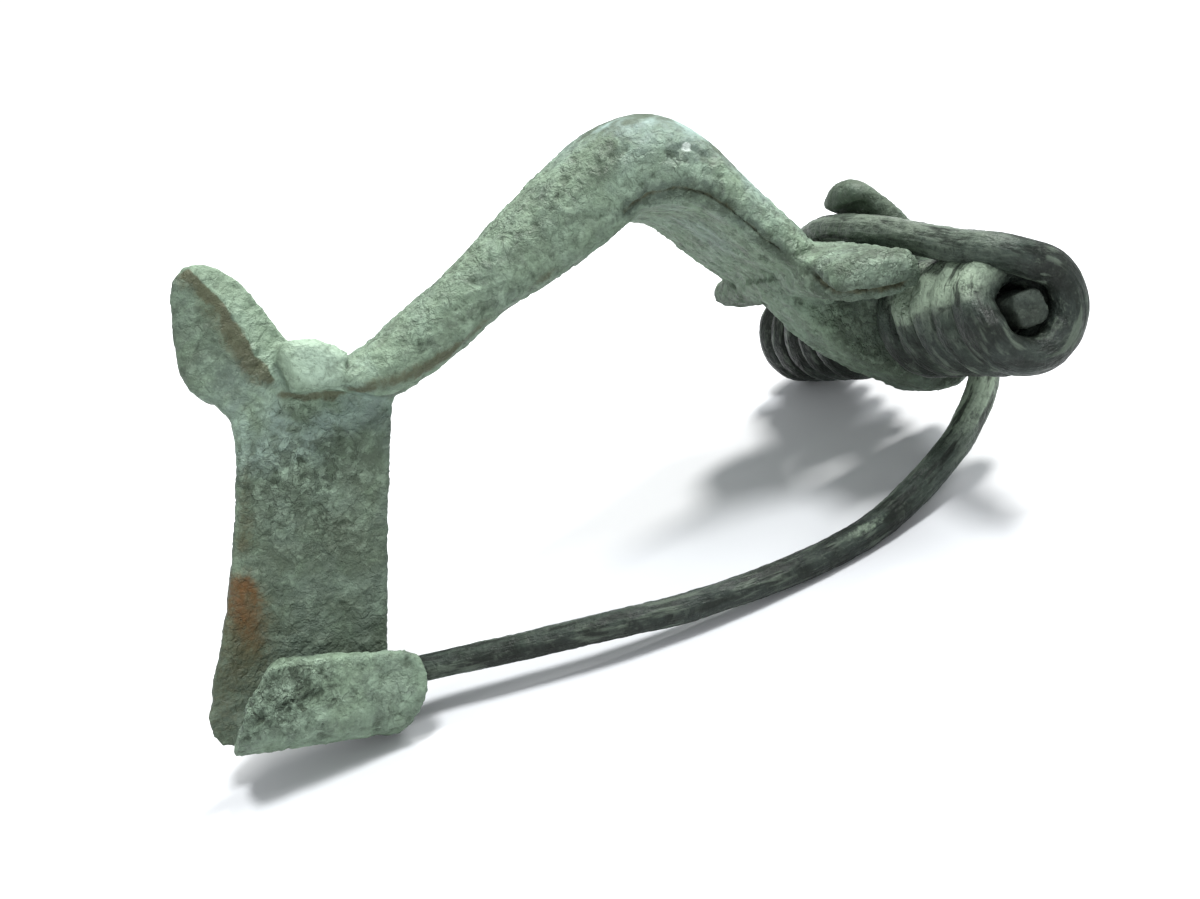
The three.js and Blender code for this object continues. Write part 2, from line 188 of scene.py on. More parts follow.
def pointsOf(mesh):
    points = np.empty(len(mesh.vertices) * 3)
    mesh.vertices.foreach_get("co", points)
    return points.reshape(-1, 3)


def normalsOf(mesh):
    normals = np.empty(len(mesh.vertices) * 3)
    mesh.vertices.foreach_get("normal", normals)
    return normals.reshape(-1, 3)


def getFloats(mesh, name, field="value", width=1):
    values = np.empty(len(mesh.vertices) * width, dtype=np.float32)
    mesh.attributes[name].data.foreach_get(field, values)
    return values


def setFloats(mesh, name, values):
    attribute = mesh.attributes.get(name) or mesh.attributes.new(name, "FLOAT", "POINT")
    attribute.data.foreach_set("value", np.ascontiguousarray(values, dtype=np.float32))


# crust: the relief that corrosion leaves on every piece

crustForm = {  # what every crust has in common; the sizes and depths are in each piece's own dictionary
    "ridgeEdge": (0.0, 0.16), "ridgeLevels": (-1.0, 0.35),
    "flakeEdge": (0.49, 0.54), "flakeLevels": (-0.6, 0.4),
    "pitEdge": (0.18, 0.42), "pitWanderScale": 1.3, "pitWander": 0.9,
    "patchScale": 0.45, "patchEdge": (0.2, 0.3),  # where pits gather
}


# Sizes and depths are in millimetres, the depths along the surface's normal. The attribute "rough" says how
# much of the relief a place takes, "carve" adds to it, and "height" is left behind for the materials.
def buildCrust():
    tree, given, out = openGroup("crust", [
        ("Ridge Size", "Float", 0.8), ("Ridge Stretch", "Float", 2.0), ("Ridge Depth", "Float", 0.1),
        ("Flake Size", "Float", 1.6), ("Flake Depth", "Float", 0.08),
        ("Pit Size", "Float", 0.9), ("Pit Depth", "Float", 0.12), ("Pit Share", "Float", 0.5),
        ("Grain Size", "Float", 0.25), ("Grain Depth", "Float", 0.02),
        ("Seed", "Float", 0.0), ("Material", "Material", None),
    ])
    take = given.outputs
    form = crustForm
    place = scaled(tree, addNode(tree, "GeometryNodeInputPosition").outputs[0], 1 / mm)
    shift = addNode(tree, "ShaderNodeCombineXYZ", {axis: take["Seed"] for axis in range(3)}).outputs[0]
    place = vectorNode(tree, "ADD", place, shift)

    squeeze = addNode(tree, "ShaderNodeCombineXYZ", {0: oneOver(tree, take["Ridge Stretch"]), 1: 1.0, 2: 1.0})
    stretched = vectorNode(tree, "MULTIPLY", place, squeeze.outputs[0])
    ridgeNoise = noise(tree, stretched, oneOver(tree, take["Ridge Size"]), 2.5, 0.55, 0.6)
    fold = mathNode(tree, "ABSOLUTE", subtract(tree, ridgeNoise, 0.5))
    ridges = multiply(tree, ramp(tree, fold, form["ridgeEdge"], form["ridgeLevels"]), take["Ridge Depth"])

    flakeNoise = noise(tree, place, oneOver(tree, take["Flake Size"]), 3.0, 0.55, 0.3)
    flakes = ramp(tree, flakeNoise, form["flakeEdge"], form["flakeLevels"])
    flakes = multiply(tree, flakes, take["Flake Depth"])

    bent = warped(tree, place, form["pitWanderScale"], form["pitWander"])
    pitCells = cells(tree, bent, oneOver(tree, take["Pit Size"]))["Distance"]
    pits = ramp(tree, pitCells, form["pitEdge"], (1.0, 0.0))
    unpitted = multiply(tree, subtract(tree, 1.0, take["Pit Share"]), 0.5)
    patches = subtract(tree, noise(tree, place, form["patchScale"]), unpitted)
    pits = multiply(tree, pits, ramp(tree, patches, form["patchEdge"]))
    pits = multiply(tree, pits, multiply(tree, take["Pit Depth"], -1.0))

    grain = subtract(tree, noise(tree, place, oneOver(tree, take["Grain Size"])), 0.5)
    grain = multiply(tree, grain, multiply(tree, take["Grain Depth"], 2.0))

    deep = add(tree, add(tree, ridges, flakes), pits)
    height = add(tree, multiply(tree, deep, stored(tree, "rough")), grain)
    push = multiply(tree, add(tree, height, stored(tree, "carve")), mm)
    offset = scaled(tree, addNode(tree, "GeometryNodeInputNormal").outputs[0], push)
    kept = store(tree, take["Geometry"], "height", "FLOAT", height)
    moved = addNode(tree, "GeometryNodeSetPosition", {"Geometry": kept, "Offset": offset}).outputs[0]
    closeGroup(tree, moved, take["Material"], out)
    return tree


crustTree = buildCrust()


def coverWithCrust(thing, look, material):
    modifier = thing.modifiers.new("crust", "NODES")
    modifier.node_group = crustTree
    setInputs(modifier, dict(look, Material=material))
    makePlain(thing)
    points = pointsOf(thing.data)
    points[:, 2] = np.maximum(points[:, 2], 0)  # rests on the floor
    thing.data.vertices.foreach_set("co", points.ravel())


# patina: colours as linear RGB, sizes in millimetres

castPatina = {
    "deep": (0.054, 0.077, 0.05), "body": (0.166, 0.234, 0.16), "pale": (0.308, 0.412, 0.308),
    # the grime colour is also used for painted shade, and the chalk colour also for painted highlights
    "blue": (0.245, 0.335, 0.305), "dirtAndShade": (0.058, 0.056, 0.024), "rust": (0.098, 0.04, 0.004),
    "chalkAndHighlight": (0.416, 0.474, 0.435), "roughness": 0.68, "specular": 0.4,
    "wrinkleSize": 0.6, "scaleSize": 0.55, "wrinkleDepth": 0.12,
    "flakeSize": 1.1, "flakeDepth": 0.09, "grainSize": 0.16, "grainDepth": 0.05,
}
wirePatina = {
    "deep": (0.008, 0.011, 0.008), "body": (0.033, 0.046, 0.035), "pale": (0.124, 0.155, 0.119),
    "blue": (0.062, 0.083, 0.075), "dirtAndShade": (0.015, 0.015, 0.011), "rust": (0.052, 0.031, 0.015),
    # chalk also paints the highlight on the pin's bend
    "chalkAndHighlight": (0.245, 0.313, 0.231), "roughness": 0.46, "specular": 0.2,
    "wrinkleSize": 0.6, "scaleSize": 0.6, "wrinkleDepth": 0.05,
    "flakeSize": 0.8, "flakeDepth": 0.06, "grainSize": 0.13, "grainDepth": 0.035,
    "streakDepth": 0.25,
}
rodPatina = dict(wirePatina, body=(0.034, 0.043, 0.034), roughness=0.6)


def buildPatina(name, look, followsWire=False):
    material = bpy.data.materials.new(name)
    material.use_nodes = True
    tree = material.node_tree
    shader = tree.nodes["Principled BSDF"]
    metres = addNode(tree, "ShaderNodeTexCoord").outputs["Object"]
    perMetre = (1 / mm, 1 / mm, 1 / mm)
    place = addNode(tree, "ShaderNodeMapping", {"Vector": metres, "Scale": perMetre}).outputs[0]

    def attribute(name, output="Fac"):
        return addNode(tree, "ShaderNodeAttribute", attribute_name=name).outputs[output]

    def times(a, b):
        return multiply(tree, a, b)

    def between(value, low, high):  # 0 at low, 1 at high, and the other way round where low is the larger
        return ramp(tree, value, (low, high))

    def blend(factor, under, over):
        node = addNode(tree, "ShaderNodeMix", data_type="RGBA")
        for socket, value in ((0, factor), (6, under), (7, over)):
            if hasattr(value, "links"):
                tree.links.new(value, node.inputs[socket])
            else:
                node.inputs[socket].default_value = (*value, 1.0)
        return node.outputs[2]

    clouds = noise(tree, place, 0.35, 3.0, 0.6)
    patches = noise(tree, place, 1.0, 5.0, 0.65, 0.5)
    speckle = noise(tree, place, 4.5, 3.0, 0.65)
    wrinkle = noise(tree, place, 1 / look["wrinkleSize"], 4.0, 0.6, 0.4)
    grain = noise(tree, place, 1 / look["grainSize"], 3.0, 0.7)
    flake = between(noise(tree, place, 1 / look["flakeSize"], 4.0, 0.55, 0.5), 0.5, 0.535)

    # small scales, each at its own level, parted by creases and lying in patches
    bent = warped(tree, place, 2.3, 0.8)
    gap = cells(tree, bent, 1 / look["scaleSize"], "DISTANCE_TO_EDGE")["Distance"]
    crease = between(gap, 0.2, 0.0)
    scaleColor = cells(tree, bent, 1 / look["scaleSize"])["Color"]
    level = addNode(tree, "ShaderNodeSeparateColor", {0: scaleColor}).outputs[0]
    coverage = between(noise(tree, place, 0.8, 3.0), 0.35, 0.62)

    rough = attribute("rough")
    flaky = attribute("flaky")
    height = attribute("height")
    scaly = times(coverage, rough)
    lightness = add(tree, patches, attribute("tone"))
    broken = add(tree, times(speckle, 1.1), times(wrinkle, 0.7))
    layers = [  # from the bottom up: colour, where it lies, how much of what is under it is covered
        ("body", between(lightness, 0.2, 0.62), 1.0),
        ("pale", between(lightness, 0.6, 1.15), 1.0),
        ("blue", times(between(clouds, 0.4, 0.62), attribute("blue")), 0.8),
        ("pale", times(flaky, flake), 0.2),
        ("deep", times(flaky, subtract(tree, 1.0, flake)), 0.35),
        # painted shade and highlight: paler on the crust's raised places, darker in its hollows
        ("pale", between(height, -0.01, 0.08), 0.25),
        ("deep", between(height, -0.03, -0.16), 0.7),
        # painted shade in the creases between the scales
        ("deep", times(crease, scaly), 0.16),
        ("pale", times(between(level, 0.55, 1.0), scaly), 0.25),
        ("deep", times(between(level, 0.4, 0.0), scaly), 0.3),
        # painted shade in the wrinkles' creases and painted highlight on their ridges
        ("deep", times(between(wrinkle, 0.46, 0.32), rough), 0.6),
        ("pale", times(between(wrinkle, 0.56, 0.68), rough), 0.3),
        ("pale", between(speckle, 0.56, 0.74), 0.22),
        ("deep", between(speckle, 0.45, 0.3), 0.4),
        # dark olive: real dirt on the catch-plate and round the rust stain, and painted shade under the
        # moulding, the leg and the near wing, in the strap's crease, on the lug's face and on the ear's face
        ("dirtAndShade", between(times(attribute("dirtAndShade"), broken), 0.3, 1.0), 0.8),
        ("rust", between(times(attribute("rust"), broken), 0.1, 1.1), 0.9),
        # chalk-white crust, and on the pin's bend a painted highlight
        ("chalkAndHighlight", between(times(attribute("chalkAndHighlight"), broken), 0.3, 0.7), 1.0),
    ]
    if followsWire:
        streak = streaks(tree, attribute("aside", "Vector"), attribute("run"), 2.4, 3.0, 0.6)
        layers += [("pale", between(streak, 0.52, 0.66), 0.5), ("deep", between(streak, 0.48, 0.36), 0.8)]
    color = look["deep"]
    for paint, where, cover in layers:
        color = blend(times(where, cover), color, look[paint])
    tree.links.new(color, shader.inputs["Base Color"])

    glossRange = (look["roughness"] - 0.14, look["roughness"] + 0.16)
    tree.links.new(ramp(tree, patches, (0.3, 0.7), glossRange), shader.inputs["Roughness"])
    shader.inputs["Metallic"].default_value = 0.0
    shader.inputs["Specular IOR Level"].default_value = look["specular"]

    scales = times(subtract(tree, times(level, 1.1), times(crease, 0.4)), coverage)
    wrinkles = times(times(add(tree, scales, times(wrinkle, 3.0)), rough), look["wrinkleDepth"])
    relief = add(tree, wrinkles, times(grain, look["grainDepth"]))
    relief = add(tree, relief, times(times(flake, flaky), look["flakeDepth"]))
    if followsWire:
        relief = add(tree, relief, times(streak, look["streakDepth"]))
    bump = addNode(tree, "ShaderNodeBump", {"Height": relief, "Strength": 1.0, "Distance": mm})
    tree.links.new(bump.outputs[0], shader.inputs["Normal"])
    return material


castMaterial = buildPatina("pale green patina", castPatina)
wireMaterial = buildPatina("dark green patina", wirePatina, followsWire=True)
rodMaterial = buildPatina("dull brown patina", rodPatina)
print("materials built")

# zones: soft-edged places on a piece, in the bow's frame, that the crust and the patina read

zoneNames = ("rough", "tone", "carve", "flaky", "blue", "dirtAndShade", "rust", "chalkAndHighlight")
signedZones = ("tone", "carve")  # the others stop at zero


def setZones(mesh, zones):  # a zone that isn't given is zero all over
    for name in zoneNames:
        values = np.broadcast_to(zones.get(name, 0.0), len(mesh.vertices))
        setFloats(mesh, name, values if name in signedZones else np.maximum(values, 0))


def fade(values, start, full):  # 0 up to start and 1 from full on, whichever is the larger
    return np.clip((values - start) / (full - start), 0, 1)


def spread(points, middle, reach):  # nearness, 1 to 0, of each point to one place
    away = (points - np.array(middle)) / np.array(reach)
    return np.exp(-(away ** 2).sum(axis=1))


def along(points, line, reach):  # nearness, 1 to 0, of each point to a line of places
    nearest = np.full(len(points), np.inf)
    line = np.array(line, dtype=float)
    for start, end in zip(line[:-1], line[1:]):
        step = end - start
        share = np.clip(((points - start) @ step) / (step @ step), 0, 1)
        nearest = np.minimum(nearest, np.linalg.norm(points - start - share[:, None] * step, axis=1))
    return np.exp(-(nearest / reach) ** 2)


def addMarks(zones, points, marks):  # a list of places is a line, and one place is a spot
    for amounts, where, reach in marks:
        near = (along if isinstance(where, list) else spread)(points, where, reach)
        for name, amount in amounts.items():
            zones[name] += amount * near


ragged = {
    # each wave: how far it moves a place, and how fast it runs along X, Z and Y
    "waves": (
        (0.16, 1.9, 1.3, 0.7), (0.12, -3.7, 2.9, 1.1), (0.08, 5.9, 7.3, -2.0), (0.05, 11.3, -8.9, 3.0),
    ),
    "direction": (0.6, 0.0, 0.5),
}


def shaken(places):  # moves the places a little, so that a mark's edge comes out ragged
    x, y, z = places.T
    sway = sum(amount * np.sin(a * x + b * z + c * y + a) for amount, a, b, c in ragged["waves"])
    return places + sway[:, None] * np.array(ragged["direction"])


# the bow

bowSkin = {
    "evenStep": 0.145,  # distance between the skin's points
    "smoothing": 4, "smoothFactor": 0.5,
    "hookEnd": (-0.6, 0.0, 7.0), "hookReach": (1.3, 3.2, 1.5), "hookWeight": 1.6, "leastWeight": 0.02,
    "hookRounding": 60,
    "crust": {
        "Ridge Size": 0.75, "Ridge Stretch": 1.5, "Ridge Depth": 0.05, "Flake Size": 1.0, "Flake Depth": 0.06,
        "Pit Size": 0.8, "Pit Depth": 0.12, "Pit Share": 0.45, "Grain Size": 0.45, "Grain Depth": 0.01,
        "Seed": 3.7,
    },
}
plateFace = -0.9  # Y of the catch-plate's side towards the pin
earLine = [(-32.4, plateFace, 16.9), (-31.7, plateFace, 15.0), (-31.3, plateFace, 12.7),
           (-30.9, plateFace, 11.0)]
strapRim = [(-8.9, -4.9, 12.2), (-7.9, -4.8, 11.2), (-7.3, -4.9, 9.7), (-6.7, -4.9, 8.4), (-6.1, -4.9, 7.2),
            (-5.7, -4.9, 6.1), (-5.6, -6.0, 5.4), (-5.4, -7.4, 4.7)]
strapCrease = [(-12.6, -3.9, 11.2), (-11.3, -4.5, 11.2), (-9.8, -4.8, 11.0), (-8.7, -5.0, 10.1),
               (-8.1, -5.0, 8.9), (-7.5, -5.0, 7.7), (-6.9, -4.9, 6.5), (-6.5, -5.6, 5.3), (-6.4, -6.6, 4.3),
               (-6.0, -7.3, 3.5), (-4.8, -8.0, 3.0), (-3.8, -8.1, 2.75), (-2.8, -8.2, 2.6)]
bowCoats = {  # what each part of the casting adds to the zones
    "all": {"rough": 0.9, "flaky": 0.15, "blue": 0.15},
    "plate": {"rough": -0.3, "flaky": 0.25, "tone": -0.2},
    "lip": {"tone": -0.04},
    "ear": {"rough": -0.3, "flaky": 0.1, "tone": -0.15},
    # painted light: the ear's slope that faces the lamps is painted lighter
    "earLitSlope": {"tone": 0.35},
    "leg": {"flaky": 0.1},
    "underside": {"tone": 0.02},
    # the crest is darker, and its patchy pale blue stands partly for bluish patina and partly for a painted
    # reflection of the lamps on its smooth top
    "crest": {"rough": -0.8, "tone": -0.45, "blue": 1.8},
}
bowParts = {  # where each part of the casting ends, and how its shading runs
    "plateTop": 9.3, "plateEdge": -25.5, "lipTop": 3.0, "lipEdge": -28.0, "lipSide": -1.6,
    "plateShade": {"from": 7.0, "to": 2.0, "tone": -0.08},
    "plateDirt": {"from": 8.5, "to": 4.5, "dirtAndShade": 0.44},  # olive lower down
    "earBottom": 9.6, "earEdge": -29.6, "earSlopeSide": 0.2, "earSlopeFacing": 0.18,
    # painted shade on the ear's face beside its lit slope: how far behind the ear's edge, how dark, how wide
    "earShadeBehind": 0.35, "earShade": 0.75, "earShadeReach": 0.6,
    "legEnds": (-26.0, -11.0), "legBottom": 8.5,
    "undersideEnds": (-14.0, 1.0), "undersideBottom": -4.0, "undersideFacing": 0.1,
    "crestLine": [(-10.2, -1.5, 15.2), (-8.3, -1.5, 14.6), (-7.0, -1.5, 12.6), (-6.2, -1.5, 10.8)],
    "crestReach": 2.4, "crestCover": 1.3,
    "wingEnds": ((-3.8, -7.4, 4.2), (-4.2, 7.0, 4.4)), "wingReach": (3.0, 3.0, 1.8),
    "wingShade": 0.3, "wingShadeBelow": 0.5, "wingFlakes": 0.9,
    "hookMiddle": (0.2, 0.0, 7.0), "hookSmoothReach": (2.0, 3.5, 2.0), "hookSmooth": 0.7,
}
# marks: what they add to which zone, a spot's middle or a line's places, and how far they reach
smoothMarks = [
    ({"flaky": 0.7}, (-31.6, plateFace, 6.2), (2.6, 1.4, 2.6)),  # the catch-plate's upper half
    ({"rough": 1.1}, (-31.8, plateFace, 6.0), (2.6, 1.2, 2.8)),
    ({"flaky": -0.4}, (-31.0, plateFace, 0.0), (3.4, 1.4, 3.0)),  # its smoother lower half
    ({"blue": 0.9}, (-30.0, plateFace, 8.8), (5.0, 1.5, 2.0)),  # below the moulding
    ({"tone": 0.3}, (-30.0, plateFace, 9.0), (5.0, 1.5, 1.2)),
    ({"rough": 2.2, "flaky": 0.9, "tone": 0.2}, (-36.6, -3.9, -2.3), (1.8, 1.0, 1.3)),  # crumbled lip
    ({"tone": 0.75, "rough": -0.3}, (-28.9, -2.7, 11.0), (1.9, 1.6, 1.7)),  # moulding
    ({"chalkAndHighlight": 1.15}, (-8.95, -4.5, 12.85), (0.32, 0.5, 0.26)),  # white chip on the crest
    ({"tone": -0.8, "dirtAndShade": 0.9, "carve": -0.3},  # painted shade under the near wing, in a carved groove
     [(-6.4, -6.9, 3.7), (-5.3, -8.3, 3.1), (-4.4, -8.3, 2.8), (-3.0, -8.1, 2.5)], 0.5),
    ({"tone": -0.5, "dirtAndShade": 0.5}, (-2.7, -1.9, 0.6), (1.4, 0.8, 2.2)),  # painted shade on the lug's face, below the coils
    ({"tone": -1.1}, (1.0, 0.0, 7.0), (2.6, 4.0, 3.0)),  # painted shade on the hook, whose curl lies in shade
    ({"tone": -0.55}, (1.5, 0.0, -2.0), (4.0, 4.0, 4.0)),  # painted shade on the lug, under the head's plate
    ({"carve": 0.4}, (-0.3, -0.4, 7.5), (1.1, 1.8, 0.9)),  # bead at the hook's end
    ({"carve": -0.35, "tone": -0.6}, (-0.35, -1.0, 6.65), (0.6, 1.0, 0.4)),  # painted shade in the hollow under the bead
]
raggedMarks = [
    # dirt and worn edges on the catch-plate
    ({"dirtAndShade": 0.45}, [(-33.3, plateFace, 8.4), (-34.2, plateFace, 6.8), (-35.3, plateFace, 4.6)], 0.5),
    ({"tone": 0.25}, [(-33.6, plateFace, 9.4), (-36.0, plateFace, 4.0), (-38.2, plateFace, 0.4)], 0.3),
    ({"dirtAndShade": 0.3}, [(-37.1, plateFace, 1.2), (-38.1, plateFace, -0.2), (-39.7, plateFace, -2.2)], 1.2),
    ({"rust": 1.05}, (-36.3, plateFace, 2.4), (0.75, 1.2, 1.1)),  # rust stain
    ({"rust": 0.6}, (-36.9, plateFace, 0.9), (0.9, 1.2, 1.9)),
    ({"rust": -0.6, "dirtAndShade": 1.2}, (-36.4, plateFace, 2.0), (0.3, 1.2, 0.45)),  # its dark middle
    ({"dirtAndShade": 0.35}, (-37.1, plateFace, 0.6), (1.3, 1.2, 2.2)),
    # painted shade: dark lines along the ear's shaded face with a dark spot at its foot, under the moulding's
    # overhang and along the leg's lower edge
    ({"dirtAndShade": 1.3}, earLine, 0.2),
    ({"dirtAndShade": 0.4}, (-31.7, plateFace, 11.7), (0.9, 1.0, 1.3)),
    ({"dirtAndShade": 1.3}, [(-30.8, plateFace, 9.9), (-28.4, plateFace, 9.1), (-26.2, plateFace, 8.3)], 0.3),
    ({"dirtAndShade": 1.3}, [(-28.0, -2.2, 8.7), (-23.0, -2.2, 8.4), (-17.0, -2.8, 9.7), (-12.5, -4.2, 10.7)], 0.45),
    ({"tone": -0.8, "carve": -0.22},  # painted shade in the dent under the crest
     [(-9.7, -4.6, 12.9), (-8.9, -4.8, 12.7), (-8.1, -4.7, 11.9)], 0.3),
    # painted light on the strap's edge and painted shade in the crease beside it
    ({"tone": 0.05}, strapRim, 0.6),
    ({"tone": -0.6}, strapCrease, 0.5),
    ({"dirtAndShade": 0.95}, strapCrease, 0.3),
    ({"carve": -0.42}, strapCrease, 0.38),
]


def mergedCopy(node, name, mergeReach=0.0005):
    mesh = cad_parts[node].data.copy()
    loose = bmesh.new()
    loose.from_mesh(mesh)
    bmesh.ops.remove_doubles(loose, verts=loose.verts, dist=mergeReach * mm)
    loose.to_mesh(mesh)
    loose.free()
    return newObject(name, mesh)


def addSmooth(thing, name, rounds, group=""):
    modifier = thing.modifiers.new(name, "SMOOTH")
    modifier.factor = bowSkin["smoothFactor"]
    modifier.iterations = rounds
    modifier.vertex_group = group


def roundHook(bow):
    places = toBowFrame(pointsOf(bow.data))
    weights = np.clip(bowSkin["hookWeight"] * spread(places, bowSkin["hookEnd"], bowSkin["hookReach"]), 0, 1)
    tip = bow.vertex_groups.new(name="hook tip")
    for index in np.flatnonzero(weights > bowSkin["leastWeight"]):
        tip.add([int(index)], float(weights[index]), "REPLACE")
    addSmooth(bow, "rounded hook", bowSkin["hookRounding"], tip.name)
    makePlain(bow)


def bowZones(places, facing):
    x, y, z = places.T
    part = bowParts
    onPlate = (z < part["plateTop"]) & (x < part["plateEdge"]) & (y > part["lipSide"])
    onEar = (z > part["earBottom"]) & (x < part["earEdge"])
    legStart, legEnd = part["legEnds"]
    underStart, underEnd = part["undersideEnds"]
    coverage = {
        "all": np.ones(len(places)),
        "plate": onPlate,
        "lip": (y < part["lipSide"]) & (z < part["lipTop"]) & (x < part["lipEdge"]),
        "ear": onEar,
        # the ear's slope that faces the lamps, which takes painted light
        "earLitSlope": onEar & (y < part["earSlopeSide"]) & (facing[:, 0] > part["earSlopeFacing"]),
        "leg": (x > legStart) & (x < legEnd) & (z > part["legBottom"]),
        "underside": (x > underStart) & (x < underEnd) & (z > part["undersideBottom"])
        & (facing[:, 2] < part["undersideFacing"]),
        "crest": np.clip(part["crestCover"] * along(places, part["crestLine"], part["crestReach"]), 0, 1),
    }
    zones = {name: np.zeros(len(places)) for name in zoneNames}
    for name, coat in bowCoats.items():
        for zone, amount in coat.items():
            zones[zone] += amount * coverage[name]
    shade, dirt = part["plateShade"], part["plateDirt"]
    zones["tone"] += shade["tone"] * fade(z, shade["from"], shade["to"]) * onPlate
    zones["dirtAndShade"] += dirt["dirtAndShade"] * fade(z, dirt["from"], dirt["to"]) * onPlate

    edges = shaken(places)
    addMarks(zones, places, smoothMarks)
    addMarks(zones, edges, raggedMarks)
    # painted shade on the ear's face, beside the slope that faces the lamps
    behindLine = np.array(earLine) - (part["earShadeBehind"], 0, 0)
    earShade = part["earShade"] * along(edges, behindLine, part["earShadeReach"])
    zones["dirtAndShade"] += earShade * ~coverage["earLitSlope"]
    facingDown = np.clip(-facing[:, 2], 0, 1)
    for end in part["wingEnds"]:
        wing = spread(places, end, part["wingReach"])
        zones["tone"] -= (part["wingShade"] + part["wingShadeBelow"] * facingDown) * wing
        zones["flaky"] += part["wingFlakes"] * wing
    zones["rough"] *= 1 - part["hookSmooth"] * spread(places, part["hookMiddle"], part["hookSmoothReach"])
    return zones


def makeBow():
    bow = mergedCopy("bow", "corroded_bow")
    even = bow.modifiers.new("even skin", "REMESH")
    even.mode = "VOXEL"
    even.voxel_size = bowSkin["evenStep"] * mm
    addSmooth(bow, "worn edges", bowSkin["smoothing"])
    makePlain(bow)
    roundHook(bow)
    setZones(bow.data, bowZones(toBowFrame(pointsOf(bow.data)), normalsOf(bow.data) @ restTurn))
    coverWithCrust(bow, bowSkin["crust"], castMaterial)
    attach(bow, "root")
    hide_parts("bow")
    print("bow:", len(bow.data.polygons), "faces")


makeBow()

# the wire: pin, near half of the spring, chord, far half

spring = {
    "coilRadius": 3.05, "wireRadius": 0.82, "halfLength": 13.25, "skew": 0.8, "turnsPerSide": 5.19,
    "turnPitch": 1.82, "chordStart": 60.0, "stepsPerTurn": 60, "routeStep": 0.3,
    "leadSteps": 3,  # steps into a turn that the pin and the chord are bent towards
    "pinShares": (0.0, 0.03, 0.55, 1.0), "pinRadii": (0.2, 0.6, 0.74, 0.82),  # from the point to the spring
    "wire": {"Sides": 40, "Step": 0.14, "Widening": 1.06, "Streak Depth": 0.2},
    "crust": {
        "Ridge Size": 0.8, "Ridge Stretch": 1.0, "Ridge Depth": 0.02, "Flake Size": 1.3, "Flake Depth": 0.03,
        "Pit Size": 0.7, "Pit Depth": 0.06, "Pit Share": 0.4, "Grain Size": 0.25, "Grain Depth": 0.015,
        "Seed": 11.3,
    },
}
pinRoute = [
    (2.18, -3.2, -1.7), (1.65, -3.6, -3.9), (-0.4, -4.2, -5.5), (-3.2, -4.9, -6.6),
    (-7.6, -5.5, -7.65), (-11.3, -5.7, -7.75), (-17.7, -5.4, -7.0), (-22.4, -4.6, -6.0),
    (-27.0, -3.1, -5.15), (-30.6, -1.97, -4.4), (-33.5, -1.95, -3.5), (-36.8, -1.92, -2.4),
]
chordRoute = [
    (-0.1, -11.5, 2.95), (-0.4, -9.6, 3.5), (-0.6, -7.2, 4.15), (-0.8, -4.5, 4.95), (-0.95, -2.4, 5.4),
    (-1.0, -0.4, 5.75), (-1.05, 2.0, 5.9), (-0.95, 4.3, 5.5), (-0.7, 7.0, 4.6), (-0.4, 9.6, 3.6),
    (-0.1, 11.5, 2.95),
]
springWear = {
    "crustSpots": (((-1.5, -8.7, 2.7), (1.9, 3.4, 1.4)), ((-2.4, -6.0, 1.9), (1.0, 1.2, 1.0))),
    "crustCover": 1.5, "crustFill": 0.6, "fillInner": 2.2, "fillOuter": 2.95,  # distances from the axis
    "fillEnd": (-12.0, -10.5),
    "boreEdge": (2.2, 1.4), "boreEnd": -9.0, "boreTightening": 0.18,
    # the end turn is flattened to one plane
    "endFace": -12.95, "endTurnShare": 0.8, "endEaseIn": 1.5, "endEaseOut": 2.5, "endSharpness": 1.3,
    "roughPin": 0.6, "roughTurns": 0.7, "roughCrust": 0.8, "endTurnSmooth": 0.6, "carveCrust": 0.12,
    # painted light: upward faces are painted lighter and downward ones darker, and the pin is lighter on its
    # side towards the head, which faces the lamps
    "tone": -0.15, "paintedLightUpward": 0.2, "toneCrust": 1.3, "tonePin": 0.01, "paintedLightPinHeadwards": 0.45,
    "toneChord": 0.5, "toneFar": -0.5, "toneEndTurn": -0.48, "highlightToneBend": 0.8,
    "flaky": 0.1, "flakyCrust": 0.6, "blue": 0.3, "chalkCrust": 1.15,
    # painted highlight: the pin's bend is painted lighter and chalk-pale on its lit upper side
    "highlightChalkBend": 0.62, "bendFacing": (-0.3125, 0.3125),  # how far up the lit side faces
    "pinHighlightSpots": (((-0.4, -4.2, -5.2), (3.4, 2.0, 2.4)), ((1.8, -3.5, -3.2), (2.0, 2.0, 2.0))),
    "marks": [
        ({"tone": -0.32}, (-14.0, -5.5, -7.5), (8.0, 3.0, 3.0)),
        ({"chalkAndHighlight": 0.6}, (-8.8, -6.3, -7.3), (1.9, 0.9, 0.4)),
    ],
}


def skewed(points):
    points = np.array(points, dtype=float)
    points[:, 0] -= points[:, 1] * tan(radians(spring["skew"]))
    return points


def turnsOf(side):
    turnRadius = spring["coilRadius"] - spring["wireRadius"]
    outer = spring["halfLength"] - spring["wireRadius"]
    inner = outer - spring["turnsPerSide"] * spring["turnPitch"]
    share = np.linspace(0, 1, round(spring["turnsPerSide"] * spring["stepsPerTurn"]) + 1)
    angle = np.radians(spring["chordStart"] - 360 * spring["turnsPerSide"] * (1 - share))
    y = side * (inner + (outer - inner) * share)
    return skewed(np.stack([turnRadius * np.cos(angle), y, turnRadius * np.sin(angle)], axis=1))


